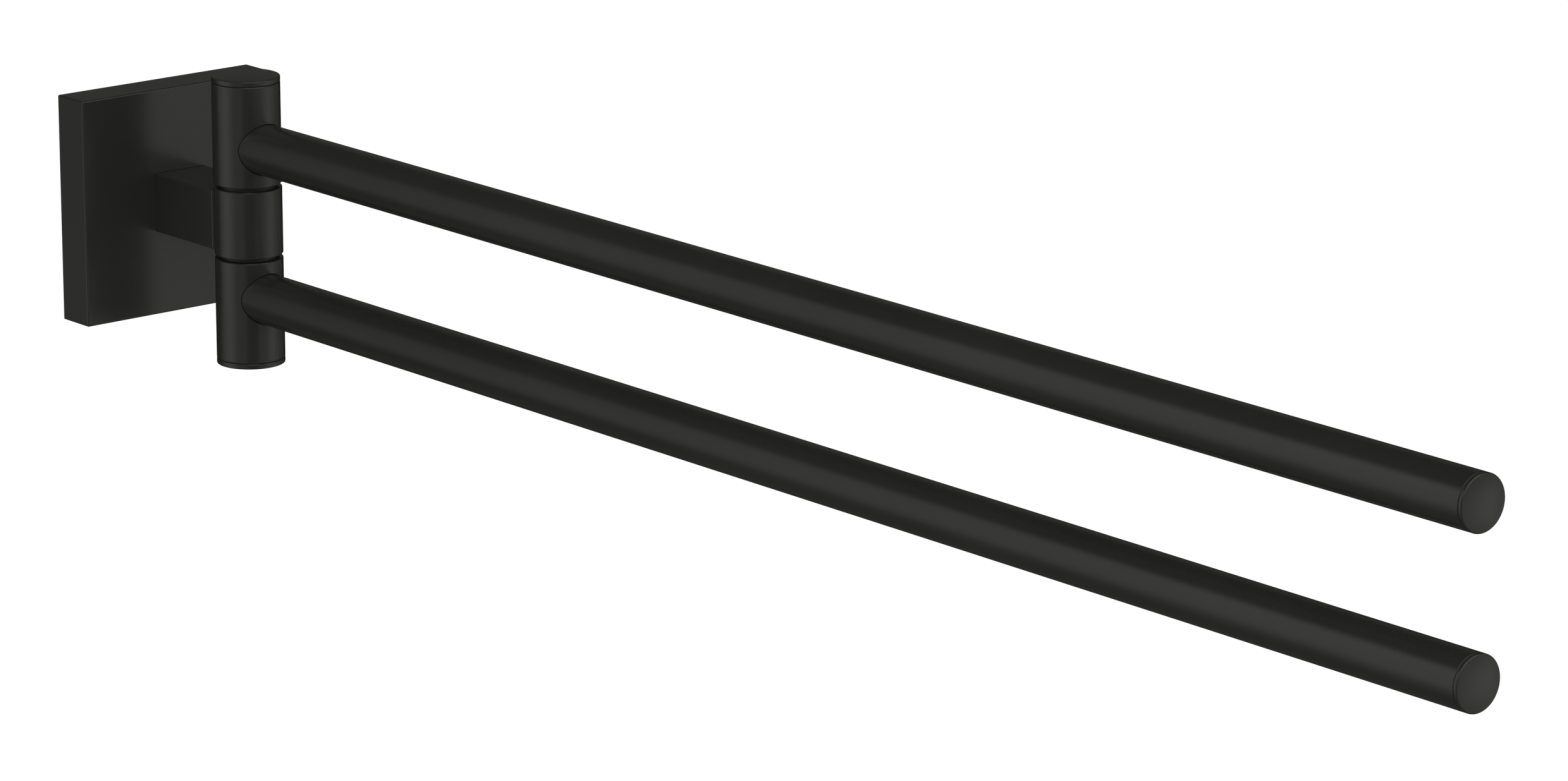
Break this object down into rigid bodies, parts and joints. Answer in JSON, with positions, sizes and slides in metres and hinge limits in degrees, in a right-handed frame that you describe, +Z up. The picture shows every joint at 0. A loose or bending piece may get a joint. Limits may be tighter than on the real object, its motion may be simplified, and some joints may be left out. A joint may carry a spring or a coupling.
{
  "type": "towel holder",
  "caption": "Wall-mounted towel holder: a square rosette and stem carry a round post with two straight bars that swing sideways, one above the other.",
  "frame": {"origin": "on the wall, at the centre of the square rosette, on the back face of the wall bracket", "axes": "+Z up, +Y into the wall, the bars point along -Y at rest, +X to the right for someone facing the wall"},
  "size_m": [0.054, 0.439, 0.069],
  "materials": {
    "black_coated_metal": "satin matt black coating on brass and steel",
    "zinc_plated_steel": "bright zinc plating",
    "spring_steel": "oiled spring steel",
    "black_acetal": "moulded black acetal",
    "ring_rubber": "moulded black rubber"
  },
  "bodies": {
    "wall_mount": {"wall_bracket": "zinc_plated_steel", "rosette_cover": "black_coated_metal", "clamp_set_screw": "zinc_plated_steel", "stem_block": "black_coated_metal", "stem_washer": "zinc_plated_steel", "stem_screw": "zinc_plated_steel", "centre_knuckle": "black_coated_metal", "pivot_screws": "zinc_plated_steel", "thrust_washers": "black_acetal", "friction_discs": "black_acetal", "disc_springs": "spring_steel"},
    "upper_arm": {"upper_knuckle": "black_coated_metal", "upper_bush": "black_acetal", "upper_bar_tube": "black_coated_metal", "upper_bar_end_cap": "black_coated_metal", "upper_post_cap": "black_coated_metal", "upper_cap_ring": "ring_rubber"},
    "lower_arm": {"lower_knuckle": "black_coated_metal", "lower_bush": "black_acetal", "lower_bar_tube": "black_coated_metal", "lower_bar_end_cap": "black_coated_metal", "lower_post_cap": "black_coated_metal", "lower_cap_ring": "ring_rubber"}
  },
  "joints": [
    {"name": "upper_arm_swing", "type": "hinge", "parent": "wall_mount", "child": "upper_arm", "pos_m": [0, -0.0375, 0], "axis": [0, 0, 1], "range_deg": [-90, 90]},
    {"name": "lower_arm_swing", "type": "hinge", "parent": "wall_mount", "child": "lower_arm", "pos_m": [0, -0.0375, 0], "axis": [0, 0, 1], "range_deg": [-90, 90]}
  ]
}
